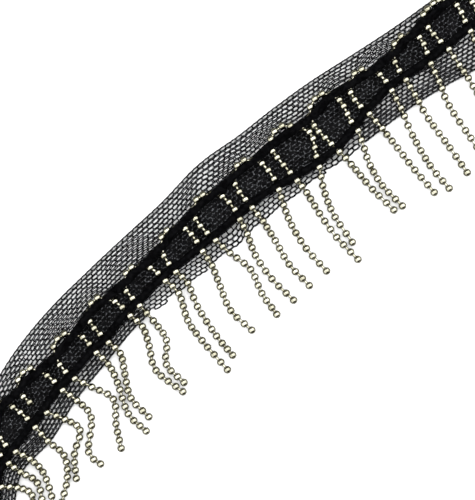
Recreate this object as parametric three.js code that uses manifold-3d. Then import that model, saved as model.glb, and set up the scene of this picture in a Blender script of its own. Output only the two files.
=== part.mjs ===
// Beaded fringe trim: a black net tape with ball chain couched along it and hanging from it as a fringe.
// Millimetres, +Z up. The trim lies flat, its face up; X runs to the right and Y away from the viewer.
import * as THREE from "three";
import { mergeVertices } from "three/addons/utils/BufferGeometryUtils.js";
import Module from "manifold-3d";

const wasm = await Module();
wasm.setup();

// Driving dimensions
const BALL = 1.8; // width and height of a ball, squared off
const LINK = 0.6; // width and height of the link between two balls
const GAP = 0.3; // between pieces that lie on each other
const GROUND_THICK = 1.0;
const NET_THICK = 1.0;
const FOLD_THICK = 1.2; // the net is double along its upper border
const SLOPE = 1.4; // width over which the net comes down beside the ground strip
const STRIP_HALF = 0.75; // half the width of the upper hold strip
const STRIP_THICK = 0.9;
const BACK_HALF = 0.7; // half the width of the lower hold strip, in which the fringe is rooted
const BACK_THICK = 1.6;
const BACK_ABOVE_ROOT = 1.25; // from the fringe's first ball up to the middle of the lower strip
const GROUND_BELOW = 1.35; // how far the ground strip goes past the middle of the lower strip
const GROUND_ABOVE = 1.4; // and past the middle of the upper strip
const GROUND_TO_FOLD = 2; // least width left between the ground strip and the tape's fold
const NET_PAST_GROUND = 0.35; // how far the net is level past the ground strip's lower edge
const LEVEL_PAST_GROUND = 2; // and past its upper edge
const LEVEL_TO_FOLD = 1.55; // least width left for the net to come down again before the fold
const BORDER_FLAT = 0.2; // least width of net that lies on the floor along the lower edge
const BESIDE_BALL = 0.15; // a chain keeps clear of the net's slopes by this much beside a ball
const SHOULDER = 0.55; // height of a hold strip's edges, as a share of its middle
const CURVE_TENSION = 0.5;
const MERGE_WITHIN = 1e-4;
const FARTHEST = 60; // a place on the tape is looked for this near to it
const CENTRE = new THREE.Vector3(4.58, 0.93, 0); // middle of the trim's box, measured from the tables' zero

// The net tape, as rungs across it from its lower edge to its folded upper edge.
// lobe is how far the cut lower edge swells out between two strands there.
const RUNGS = [
  { low: [-59.9, -71.5], up: [-79.8, -69.4], lobe: 0.2 },
  { low: [-59.4, -64.8], up: [-78.0, -60.8], lobe: 0.2 },
  { low: [-57.2, -58.4], up: [-75.0, -50.6], lobe: 0.5 },
  { low: [-49.6, -50.2], up: [-66.8, -38.4], lobe: 0.5 },
  { low: [-43.5, -40.2], up: [-59.4, -26.9], lobe: 0.1 },
  { low: [-35.1, -29.7], up: [-50.7, -16.2], lobe: 0.1 },
  { low: [-26.5, -19.5], up: [-40.5, -6.0], lobe: 0.3 },
  { low: [-16.2, -11.2], up: [-30.4, 3.5], lobe: 0.6 },
  { low: [-6.5, -3.5], up: [-20.5, 12.6], lobe: 0.6 },
  { low: [3.1, 4.8], up: [-10.5, 22.9], lobe: 0.6 },
  { low: [13.1, 13.0], up: [0.3, 30.7], lobe: 0.6 },
  { low: [23.0, 20.6], up: [9.2, 37.7], lobe: 0.6 },
  { low: [34.4, 29.3], up: [19.6, 45.2], lobe: 0.3 },
  { low: [45.5, 37.8], up: [31.5, 52.8], lobe: 0.1 },
  { low: [55.9, 44.3], up: [42.9, 60.3], lobe: 0.1 },
  { low: [66.3, 50.2], up: [54.3, 68.6], lobe: 0.1 },
  { low: [77.0, 58.8], up: [64.8, 77.0], lobe: 0.1 },
  { low: [82.4, 63.2], up: [70.2, 81.2], lobe: 0.1 },
];

// The fringe, one row for each strand from left to right: its first ball, three on its way and its last.
// at tells which balls stand at the five places, counted from 0 at the root.
const STRANDS = [
  { at: [0, 2, 5, 8, 11], root: [-62.9, -63.1], high: [-58.8, -63.4], mid: [-54.9, -65.6],
    low: [-55.2, -72.0], tip: [-54.9, -78.4] },
  { at: [0, 2, 5, 8, 11], root: [-61.0, -56.8], high: [-58.0, -59.2], mid: [-53.5, -62.3],
    low: [-52.0, -68.9], tip: [-51.7, -75.5] },
  { at: [0, 2, 5, 8, 11], root: [-59.1, -53.7], high: [-55.5, -55.7], mid: [-52.0, -59.4],
    low: [-49.7, -65.8], tip: [-48.6, -72.4] },
  { at: [0, 2, 5, 8, 11], root: [-53.9, -47.2], high: [-50.7, -50.9], mid: [-46.4, -54.9],
    low: [-45.5, -60.7], tip: [-46.9, -67.4] },
  { at: [0, 2, 5, 8, 11], root: [-50.8, -43.3], high: [-46.1, -45.2], mid: [-42.1, -48.2],
    low: [-43.6, -54.6], tip: [-43.1, -61.1] },
  { at: [0, 2, 5, 9, 11], root: [-46.6, -37.3], high: [-42.9, -40.2], mid: [-39.1, -44.8],
    low: [-39.8, -54.0], tip: [-36.6, -57.2] },
  { at: [0, 2, 5, 8, 11], root: [-43.4, -34.2], high: [-38.9, -36.6], mid: [-33.2, -39.9],
    low: [-32.5, -46.5], tip: [-31.1, -53.0] },
  { at: [0, 2, 5, 9, 12], root: [-37.6, -27.3], high: [-34.6, -30.4], mid: [-32.1, -35.4],
    low: [-29.2, -43.8], tip: [-24.4, -48.4] },
  { at: [0, 2, 5, 8, 11], root: [-34.4, -24.6], high: [-31.3, -27.6], mid: [-30.1, -33.2],
    low: [-28.5, -39.6], tip: [-23.7, -44.6] },
  { at: [0, 2, 5, 8, 12], root: [-28.6, -17.5], high: [-25.4, -20.4], mid: [-23.6, -25.7],
    low: [-21.8, -32.2], tip: [-14.6, -37.9] },
  { at: [0, 2, 5, 8, 11], root: [-26.1, -14.8], high: [-22.5, -18.9], mid: [-19.0, -24.1],
    low: [-19.0, -30.6], tip: [-14.3, -35.4] },
  { at: [0, 2, 6, 9, 13], root: [-19.2, -8.2], high: [-15.7, -11.5], mid: [-13.3, -18.8],
    low: [-9.5, -24.2], tip: [-2.7, -32.0] },
  { at: [0, 2, 5, 9, 12], root: [-16.4, -5.8], high: [-13.3, -8.8], mid: [-10.7, -15.1],
    low: [-5.6, -23.0], tip: [-1.3, -28.1] },
  { at: [0, 2, 5, 8, 11], root: [-9.3, -0.3], high: [-6.8, -4.2], mid: [-4.6, -9.8],
    low: [-1.8, -16.2], tip: [3.8, -21.4] },
  { at: [0, 2, 5, 8, 11], root: [-5.8, 2.6], high: [-2.0, -0.8], mid: [3.5, -5.2],
    low: [6.5, -11.6], tip: [10.5, -17.2] },
  { at: [0, 2, 5, 8, 11], root: [0.6, 8.2], high: [2.6, 4.3], mid: [4.8, -1.4],
    low: [9.2, -7.7], tip: [15.0, -13.4] },
  { at: [0, 2, 5, 8, 11], root: [3.9, 11.3], high: [6.8, 7.7], mid: [10.1, 2.5],
    low: [13.8, -3.8], tip: [19.2, -9.5] },
  { at: [0, 2, 5, 8, 11], root: [11.0, 16.1], high: [12.3, 12.0], mid: [14.5, 6.6],
    low: [18.4, 0.4], tip: [23.8, -5.6] },
  { at: [0, 2, 5, 8, 11], root: [15.9, 18.5], high: [18.5, 15.3], mid: [21.9, 9.8],
    low: [26.5, 3.4], tip: [32.2, -2.5] },
  { at: [0, 2, 4, 6, 9], root: [21.8, 22.1], high: [22.8, 17.2], mid: [24.2, 12.9],
    low: [26.1, 8.8], tip: [30.7, 2.1] },
  { at: [0, 2, 4, 6, 9], root: [27.1, 26.2], high: [30.4, 22.9], mid: [32.9, 19.9],
    low: [36.1, 16.2], tip: [41.8, 10.7] },
  { at: [0, 2, 4, 7, 10], root: [32.1, 31.8], high: [33.9, 27.0], mid: [35.5, 22.6],
    low: [38.8, 17.2], tip: [44.1, 11.8] },
  { at: [0, 2, 5, 8, 11], root: [35.1, 36.3], high: [38.6, 32.5], mid: [42.8, 27.3],
    low: [47.4, 21.4], tip: [52.6, 15.4] },
  { at: [0, 2, 5, 9, 12], root: [41.1, 42.5], high: [43.6, 37.9], mid: [46.8, 30.7],
    low: [51.5, 22.6], tip: [56.6, 16.5] },
  { at: [0, 2, 5, 9, 12], root: [44.9, 45.3], high: [47.3, 41.5], mid: [51.1, 35.1],
    low: [56.8, 27.3], tip: [61.4, 20.7] },
  { at: [0, 2, 5, 9, 12], root: [51.5, 49.7], high: [53.8, 45.1], mid: [56.6, 38.6],
    low: [62.4, 29.9], tip: [66.8, 23.6] },
  { at: [0, 2, 5, 9, 12], root: [56.3, 53.5], high: [59.2, 49.4], mid: [63.0, 43.8],
    low: [67.8, 36.0], tip: [71.8, 30.2] },
  { at: [0, 2, 5, 9, 12], root: [62.1, 58.3], high: [64.3, 53.9], mid: [67.3, 47.2],
    low: [72.8, 38.6], tip: [77.4, 32.6] },
  { at: [0, 2, 5, 9, 12], root: [66.4, 61.6], high: [69.2, 57.4], mid: [73.3, 51.2],
    low: [79.0, 43.0], tip: [83.4, 36.8] },
  { at: [0, 2, 5, 9, 12], root: [72.6, 66.4], high: [74.5, 62.0], mid: [78.1, 55.4],
    low: [83.8, 47.0], tip: [88.2, 40.8] },
];

// The looped part of each chain on the tape: up one leg, over the top and down the other. at tells which
// balls stand at the six places, counted from 0 at footA.
// The upper hold strip crosses it between knee and crown on both sides.
const LOOPS = [
  { at: [0, 2, 4, 7, 9, 11], footA: [-66.0, -62.4], kneeA: [-69.6, -61.4], crownA: [-73.8, -60.0],
    crownB: [-72.8, -53.4], kneeB: [-68.0, -51.8], footB: [-63.2, -54.7] },
  { at: [0, 1, 3, 7, 9, 11], footA: [-61.8, -51.9], kneeA: [-63.3, -50.1], crownA: [-67.6, -46.6],
    crownB: [-64.6, -40.7], kneeB: [-59.9, -41.8], footB: [-56.0, -44.9] },
  { at: [0, 1, 3, 5, 7, 8], footA: [-55.4, -40.5], kneeA: [-57.1, -39.0], crownA: [-58.4, -34.6],
    crownB: [-55.2, -31.5], kneeB: [-50.8, -33.4], footB: [-48.8, -35.0] },
  { at: [0, 1, 3, 5, 7, 8], footA: [-45.8, -32.4], kneeA: [-47.4, -30.5], crownA: [-49.0, -25.8],
    crownB: [-46.1, -22.3], kneeB: [-41.3, -23.2], footB: [-39.5, -25.0] },
  { at: [0, 2, 4, 5, 7, 8], footA: [-36.6, -22.4], kneeA: [-39.4, -19.0], crownA: [-39.0, -14.2],
    crownB: [-37.3, -12.7], kneeB: [-32.7, -13.7], footB: [-30.7, -15.2] },
  { at: [0, 1, 3, 4, 6, 7], footA: [-28.0, -12.8], kneeA: [-29.7, -10.9], crownA: [-29.7, -6.2],
    crownB: [-28.2, -4.6], kneeB: [-23.3, -4.7], footB: [-21.2, -6.1] },
  { at: [0, 1, 3, 4, 6, 8], footA: [-18.3, -3.6], kneeA: [-19.7, -1.5], crownA: [-20.2, 3.4],
    crownB: [-18.8, 5.2], kneeB: [-14.0, 5.7], footB: [-10.9, 2.3] },
  { at: [0, 2, 4, 5, 7, 9], footA: [-8.1, 4.6], kneeA: [-11.3, 8.4], crownA: [-11.0, 13.4],
    crownB: [-9.2, 14.7], kneeB: [-4.1, 14.3], footB: [-0.7, 10.8] },
  { at: [0, 2, 4, 5, 7, 9], footA: [2.1, 13.5], kneeA: [-0.7, 17.6], crownA: [-0.1, 22.5],
    crownB: [1.7, 23.9], kneeB: [6.5, 23.1], footB: [9.7, 19.0] },
  { at: [0, 3, 4, 6, 9, 12], footA: [14.0, 20.7], kneeA: [9.3, 26.4], crownA: [8.9, 29.5],
    crownB: [11.8, 33.0], kneeB: [19.1, 31.5], footB: [21.0, 25.0] },
  { at: [0, 3, 5, 7, 9, 12], footA: [25.0, 28.3], kneeA: [20.4, 33.2], crownA: [19.4, 38.1],
    crownB: [22.5, 41.6], kneeB: [27.1, 40.0], footB: [30.3, 34.2] },
  { at: [0, 2, 4, 5, 7, 8], footA: [32.8, 38.3], kneeA: [30.1, 42.0], crownA: [31.2, 47.0],
    crownB: [33.1, 48.1], kneeB: [37.9, 46.8], footB: [39.5, 45.0] },
  { at: [0, 1, 3, 4, 6, 8], footA: [43.1, 47.8], kneeA: [41.9, 50.1], crownA: [41.9, 54.9],
    crownB: [43.6, 56.9], kneeB: [48.4, 56.7], footB: [50.5, 52.6] },
  { at: [0, 2, 3, 6, 8, 10], footA: [54.1, 55.6], kneeA: [50.7, 59.4], crownA: [49.6, 62.7],
    crownB: [53.8, 66.6], kneeB: [58.4, 65.3], footB: [60.6, 61.0] },
  { at: [0, 2, 4, 5, 7, 9], footA: [63.8, 64.0], kneeA: [61.5, 68.1], crownA: [61.2, 72.2],
    crownB: [63.0, 74.2], kneeB: [67.8, 73.4], footB: [70.8, 69.4] },
];

const metal = new THREE.MeshStandardMaterial({ color: "#b9b39c", roughness: 0.3, metalness: 0.9 });
const netBlack = new THREE.MeshStandardMaterial({ color: "#1c1d1f", roughness: 0.6 });
const groundBlack = new THREE.MeshStandardMaterial({ color: "#08080a", roughness: 0.95 });
const braidBlack = new THREE.MeshStandardMaterial({ color: "#050506", roughness: 1 });

const trim = new THREE.Group();

const addMesh = (name, geometry, material) => {
  const mesh = new THREE.Mesh(geometry, material);
  mesh.name = name;
  trim.add(mesh);
};

const clamp01 = (x) => Math.min(1, Math.max(0, x));
const smooth = (x) => clamp01(x) ** 2 * (3 - 2 * clamp01(x));

function curveThrough(places) {
  const points = places.map(([x, y]) => new THREE.Vector3(x, y, 0));
  return new THREE.CatmullRomCurve3(points, false, "catmullrom", CURVE_TENSION);
}

// A closed solid through rings of equal count, with flat ends. flat gives a ring's own two-sided outline.
function loft(rings, flat) {
  const count = rings[0].length;
  const faces = [];
  for (let i = 0; i + 1 < rings.length; i++) {
    for (let k = 0; k < count; k++) {
      const a = i * count + k;
      const b = i * count + ((k + 1) % count);
      faces.push(a, b, b + count, a, b + count, a + count);
    }
  }
  const cap = THREE.ShapeUtils.triangulateShape(flat, []);
  const last = (rings.length - 1) * count;
  for (const [a, b, c] of cap) faces.push(a, c, b, last + a, last + b, last + c);
  const geometry = new THREE.BufferGeometry().setFromPoints(rings.flat());
  geometry.setIndex(faces);
  return geometry;
}

function solidOf(geometry) {
  const merged = mergeVertices(geometry, MERGE_WITHIN);
  return new wasm.Manifold(
    new wasm.Mesh({
      numProp: 3,
      vertProperties: merged.attributes.position.array,
      triVerts: new Uint32Array(merged.index.array),
    }),
  );
}

function geometryOf(solid) {
  const mesh = solid.getMesh();
  const geometry = new THREE.BufferGeometry();
  geometry.setAttribute("position", new THREE.BufferAttribute(mesh.vertProperties, 3));
  geometry.setIndex(new THREE.BufferAttribute(mesh.triVerts, 1));
  return geometry;
}

// Places on the tape: s runs along it from 0 to 1, and t is the distance in from the line of its lower edge.
const lowLine = curveThrough(RUNGS.map((r) => r.low));
const upLine = curveThrough(RUNGS.map((r) => r.up));

const rungAt = (s) => {
  const low = lowLine.getPoint(s);
  const across = upLine.getPoint(s).sub(low);
  const width = across.length();
  return { low, across: across.divideScalar(width), width };
};

const onTape = (s, t, z) => {
  const { low, across } = rungAt(s);
  return low.addScaledVector(across, t).setZ(z);
};

const SAMPLES = 600;
const sampledRungs = Array.from({ length: SAMPLES + 1 }, (_, i) => rungAt(i / SAMPLES));

// How far a place lies beside a rung, and how far along it.
const besideRung = (rung, x, y) => {
  const dx = x - rung.low.x;
  const dy = y - rung.low.y;
  return { beside: dx * rung.across.y - dy * rung.across.x, along: dx * rung.across.x + dy * rung.across.y };
};

function placeOf(x, y) {
  const found = sampledRungs.map((rung, i) => ({ i, ...besideRung(rung, x, y) }));
  const near = found.filter((f) => Math.abs(f.along) < FARTHEST);
  const best = near.reduce((a, b) => (Math.abs(b.beside) < Math.abs(a.beside) ? b : a));
  return { s: best.i / SAMPLES, t: best.along };
}

// A value that changes smoothly along the tape, given at some places on it.
function alongTape(pairs) {
  const line = [...pairs].sort((a, b) => a.s - b.s);
  return (s) => {
    const next = line.findIndex((p) => p.s > s);
    if (next === 0) return line[0].t;
    if (next < 0) return line.at(-1).t;
    const a = line[next - 1];
    const b = line[next];
    return a.t + (b.t - a.t) * smooth((s - a.s) / (b.s - a.s));
  };
}

const roots = STRANDS.map(({ root }) => placeOf(...root));
const backMiddle = alongTape(roots.map(({ s, t }) => ({ s, t: t + BACK_ABOVE_ROOT })));

const midway = (a, b) => [(a[0] + b[0]) / 2, (a[1] + b[1]) / 2];
const crossings = LOOPS.flatMap((l) => [midway(l.kneeA, l.crownA), midway(l.crownB, l.kneeB)]);
const stripMiddle = alongTape(crossings.map((place) => placeOf(...place)));

const groundLow = (s) => backMiddle(s) - GROUND_BELOW;
const groundUp = (s) => Math.min(stripMiddle(s) + GROUND_ABOVE, rungAt(s).width - GROUND_TO_FOLD);

// The lower edge swells between the strands and is drawn in at each one.
const lobeAt = alongTape(RUNGS.map((r, i) => ({ s: i / (RUNGS.length - 1), t: r.lobe })));
const strandCount = (s) => {
  const next = roots.findIndex((r) => r.s > s);
  if (next <= 0) return 0;
  return next - 1 + (s - roots[next - 1].s) / (roots[next].s - roots[next - 1].s);
};
const edgeAt = (s) => -lobeAt(s) * Math.abs(Math.sin(Math.PI * strandCount(s)));

// Where the net leaves the floor on either side, and where it is level over the ground strip.
const netBreaks = (s) => {
  const levelLow = groundLow(s) - NET_PAST_GROUND;
  const levelUp = Math.min(groundUp(s) + LEVEL_PAST_GROUND, rungAt(s).width - LEVEL_TO_FOLD);
  const footLow = levelLow - Math.min(SLOPE, levelLow - BORDER_FLAT);
  return { footLow, levelLow, levelUp, footUp: levelUp + SLOPE };
};

const LIFT = GROUND_THICK + GAP;

const netTop = (s, t) => {
  const { footLow, levelLow, levelUp, footUp } = netBreaks(s);
  const rise = clamp01((t - footLow) / (levelLow - footLow)) * clamp01((footUp - t) / (footUp - levelUp));
  const thick = t > levelUp ? FOLD_THICK + (NET_THICK - FOLD_THICK) * rise : NET_THICK;
  return LIFT * rise + thick;
};

// The height of a chain's middle at a place: on the net with a gap, or down on the floor beyond its edge.
const DROP = 1.45;
function chainHeight(x, y) {
  const { s, t } = placeOf(x, y);
  const inside = t - edgeAt(s);
  const foot = BALL / 2 + BESIDE_BALL;
  const onFloor = smooth((inside + foot + DROP) / DROP) * (NET_THICK + GAP);
  const onNet = Math.max(netTop(s, t - foot), netTop(s, t + foot)) + GAP;
  return BALL / 2 + (inside < -foot ? onFloor : onNet);
}

// One chain: a square section that is wide at each ball and narrow at each link. numbers are the balls that
// stand at the given places. before and after are the places where its first and last links end.
function chain(places, numbers, before, after) {
  const line = curveThrough(places);
  const placeOfBall = (number) => {
    const i = Math.max(1, numbers.findIndex((n) => n >= number));
    const part = (number - numbers[i - 1]) / (numbers[i] - numbers[i - 1]);
    return line.getPoint((i - 1 + part) / (numbers.length - 1));
  };
  const stops = [];
  for (let i = 0; i <= numbers.at(-1); i++) {
    if (i > 0) stops.push({ at: placeOfBall(i - 0.5), size: LINK });
    stops.push({ at: placeOfBall(i), size: BALL });
  }
  if (before) stops.unshift({ at: new THREE.Vector3(...before, 0), size: LINK });
  if (after) stops.push({ at: new THREE.Vector3(...after, 0), size: LINK });
  const rings = stops.map(({ at, size }, i) => {
    const from = stops[Math.max(0, i - 1)].at;
    const to = stops[Math.min(stops.length - 1, i + 1)].at;
    const ahead = new THREE.Vector3().subVectors(to, from).setZ(0).normalize();
    const side = new THREE.Vector3(-ahead.y, ahead.x, 0);
    const middle = at.clone().setZ(chainHeight(at.x, at.y));
    return [[-1, -1], [1, -1], [1, 1], [-1, 1]].map(([across, up]) =>
      middle.clone().addScaledVector(side, (across * size) / 2).add(new THREE.Vector3(0, 0, (up * size) / 2)),
    );
  });
  const square = [[-1, -1], [1, -1], [1, 1], [-1, 1]].map(([x, y]) => new THREE.Vector2(x, y));
  return loft(rings, square);
}

// A place beyond the end of a chain, in line with its last stretch.
const beyond = (end, inner, far) => {
  const way = new THREE.Vector2(end[0] - inner[0], end[1] - inner[1]).setLength(far);
  return [end[0] + way.x, end[1] + way.y];
};

// Steps along the tape at each strand and twice between, so that the edge's lobes keep their shape.
const THIRDS = 3;
const steps = (() => {
  const ends = [0, ...roots.map((r) => r.s), 1];
  return ends.slice(1).flatMap((s, i) => {
    const from = ends[i];
    return Array.from({ length: THIRDS }, (_, k) => from + ((s - from) * k) / THIRDS);
  }).concat(1);
})();

function netTape() {
  const profile = (s) => {
    const { footLow, levelLow, levelUp, footUp } = netBreaks(s);
    const { width } = rungAt(s);
    const edge = edgeAt(s);
    return [
      [edge, 0], [footLow, 0], [levelLow, LIFT], [levelUp, LIFT], [footUp, 0], [width, 0],
      [width, FOLD_THICK], [footUp, FOLD_THICK], [levelUp, LIFT + NET_THICK],
      [levelLow, LIFT + NET_THICK], [footLow, NET_THICK], [edge, NET_THICK],
    ];
  };
  const rings = steps.map((s) => profile(s).map(([t, z]) => onTape(s, t, z)));
  return loft(rings, profile(0).map(([t, z]) => new THREE.Vector2(t, z)));
}

function groundStrip() {
  const profile = (s) => [
    [groundLow(s), 0], [groundUp(s), 0], [groundUp(s), GROUND_THICK], [groundLow(s), GROUND_THICK],
  ];
  const rings = steps.map((s) => profile(s).map(([t, z]) => onTape(s, t, z)));
  return loft(rings, profile(0).map(([t, z]) => new THREE.Vector2(t, z)));
}

// A hold strip's section: flat below, domed above.
const stripSection = (half, thick) => [
  [-half, 0], [half, 0], [half, SHOULDER * thick], [0, thick], [-half, SHOULDER * thick],
];

// Places along each chain where it runs under or beside the upper strip, from knee to knee.
const UNDER_START = 0.12;
const UNDER_COUNT = 39;
const underAt = (i) => UNDER_START + ((1 - 2 * UNDER_START) * i) / (UNDER_COUNT - 1);
const UNDER = Array.from({ length: UNDER_COUNT }, (_, i) => underAt(i));
const coveredPlaces = LOOPS.flatMap(({ footA, kneeA, crownA, crownB, kneeB, footB }) => {
  const line = curveThrough([footA, kneeA, crownA, crownB, kneeB, footB]);
  return UNDER.map((part) => line.getPoint(part));
});

// How much the upper strip is lifted where it passes over a chain, how far out, and over what width it
// comes down.
const SLACK = 0.1;
const OVER = BALL + GAP + SLACK;
const LIFTED_HALF = 2.1;
const LIFT_FALL = 1.0;
const liftOver = (place) => {
  const near = Math.min(...coveredPlaces.map((covered) => covered.distanceTo(place)));
  return OVER * smooth(1 - (near - LIFTED_HALF) / LIFT_FALL);
};

const STRIP_STEPS = 200;

function upperStrip() {
  const section = stripSection(STRIP_HALF, STRIP_THICK);
  const rings = Array.from({ length: STRIP_STEPS + 1 }, (_, i) => {
    const s = i / STRIP_STEPS;
    return section.map(([across, up]) => {
      const place = onTape(s, stripMiddle(s) + across, 0);
      return place.setZ(LIFT + NET_THICK + GAP + liftOver(place.clone()) + up);
    });
  });
  return loft(rings, section.map(([x, y]) => new THREE.Vector2(x, y)));
}

function lowerStrip() {
  const section = stripSection(BACK_HALF, BACK_THICK);
  const rings = steps.map((s) =>
    section.map(([across, up]) => onTape(s, backMiddle(s) + across, LIFT + NET_THICK + GAP + up)),
  );
  return loft(rings, section.map(([x, y]) => new THREE.Vector2(x, y)));
}

function fringe() {
  const strands = STRANDS.map(({ at, root, high, mid, low, tip }, i) => {
    const { s, t } = roots[i];
    const inStrip = onTape(s, t + BACK_ABOVE_ROOT, 0);
    const end = beyond(tip, low, BALL / 2);
    return solidOf(chain([root, high, mid, low, tip], at, [inStrip.x, inStrip.y], end));
  });
  return geometryOf(wasm.Manifold.union([solidOf(lowerStrip()), ...strands]));
}

addMesh("net_tape", netTape(), netBlack);
addMesh("ground_strip", groundStrip(), groundBlack);
addMesh("hold_strip_upper", upperStrip(), braidBlack);
addMesh("chain_fringe", fringe(), metal);

const FOOT_END = BALL / 3; // how far a loop's end links go on past its foot balls

LOOPS.forEach(({ at, footA, kneeA, crownA, crownB, kneeB, footB }, i) => {
  const places = [footA, kneeA, crownA, crownB, kneeB, footB];
  const ends = [beyond(footA, kneeA, FOOT_END), beyond(footB, kneeB, FOOT_END)];
  const name = "chain_loop_" + String(i + 1).padStart(2, "0");
  addMesh(name, chain(places, at, ...ends), metal);
});

trim.position.set(-CENTRE.x, -CENTRE.y, 0);

export default trim;
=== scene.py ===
import math
import bmesh
import bpy
import numpy as np
from mathutils import Matrix, Vector, noise


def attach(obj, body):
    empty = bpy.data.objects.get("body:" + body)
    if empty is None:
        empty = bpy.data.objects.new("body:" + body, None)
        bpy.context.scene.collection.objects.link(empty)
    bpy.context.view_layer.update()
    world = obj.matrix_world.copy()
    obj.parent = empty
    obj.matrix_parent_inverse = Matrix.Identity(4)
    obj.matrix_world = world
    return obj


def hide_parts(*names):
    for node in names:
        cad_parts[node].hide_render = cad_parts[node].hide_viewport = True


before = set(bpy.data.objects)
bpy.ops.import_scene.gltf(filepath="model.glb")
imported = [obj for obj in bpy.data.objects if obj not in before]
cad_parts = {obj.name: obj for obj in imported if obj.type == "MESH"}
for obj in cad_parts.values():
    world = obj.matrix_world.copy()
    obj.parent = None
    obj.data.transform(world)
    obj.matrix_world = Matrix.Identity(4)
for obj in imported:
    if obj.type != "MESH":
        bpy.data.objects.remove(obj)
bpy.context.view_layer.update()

# The ground strip: a strip of dull black cloth along the middle of the tape, under the net. It backs
# the chains, so its edges follow them. All pieces are laid out flat in millimetres, along and across
# the tape, and then laid on its course.
MM = 0.001
CENTRE = Vector((4.58, 0.93, 0.0))

# The tape's course, as rungs from its lower to its upper edge. lobe is how far the cut edge swells.
RUNGS = [
    {"low": (-59.9, -71.5), "up": (-79.8, -69.4), "lobe": 0.2},
    {"low": (-59.4, -64.8), "up": (-78.0, -60.8), "lobe": 0.2},
    {"low": (-57.2, -58.4), "up": (-75.0, -50.6), "lobe": 0.5},
    {"low": (-49.6, -50.2), "up": (-66.8, -38.4), "lobe": 0.5},
    {"low": (-43.5, -40.2), "up": (-59.4, -26.9), "lobe": 0.1},
    {"low": (-35.1, -29.7), "up": (-50.7, -16.2), "lobe": 0.1},
    {"low": (-26.5, -19.5), "up": (-40.5, -6.0), "lobe": 0.3},
    {"low": (-16.2, -11.2), "up": (-30.4, 3.5), "lobe": 0.6},
    {"low": (-6.5, -3.5), "up": (-20.5, 12.6), "lobe": 0.6},
    {"low": (3.1, 4.8), "up": (-10.5, 22.9), "lobe": 0.6},
    {"low": (13.1, 13.0), "up": (0.3, 30.7), "lobe": 0.6},
    {"low": (23.0, 20.6), "up": (9.2, 37.7), "lobe": 0.6},
    {"low": (34.4, 29.3), "up": (19.6, 45.2), "lobe": 0.3},
    {"low": (45.5, 37.8), "up": (31.5, 52.8), "lobe": 0.1},
    {"low": (55.9, 44.3), "up": (42.9, 60.3), "lobe": 0.1},
    {"low": (66.3, 50.2), "up": (54.3, 68.6), "lobe": 0.1},
    {"low": (77.0, 58.8), "up": (64.8, 77.0), "lobe": 0.1},
    {"low": (82.4, 63.2), "up": (70.2, 81.2), "lobe": 0.1},
]

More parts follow.
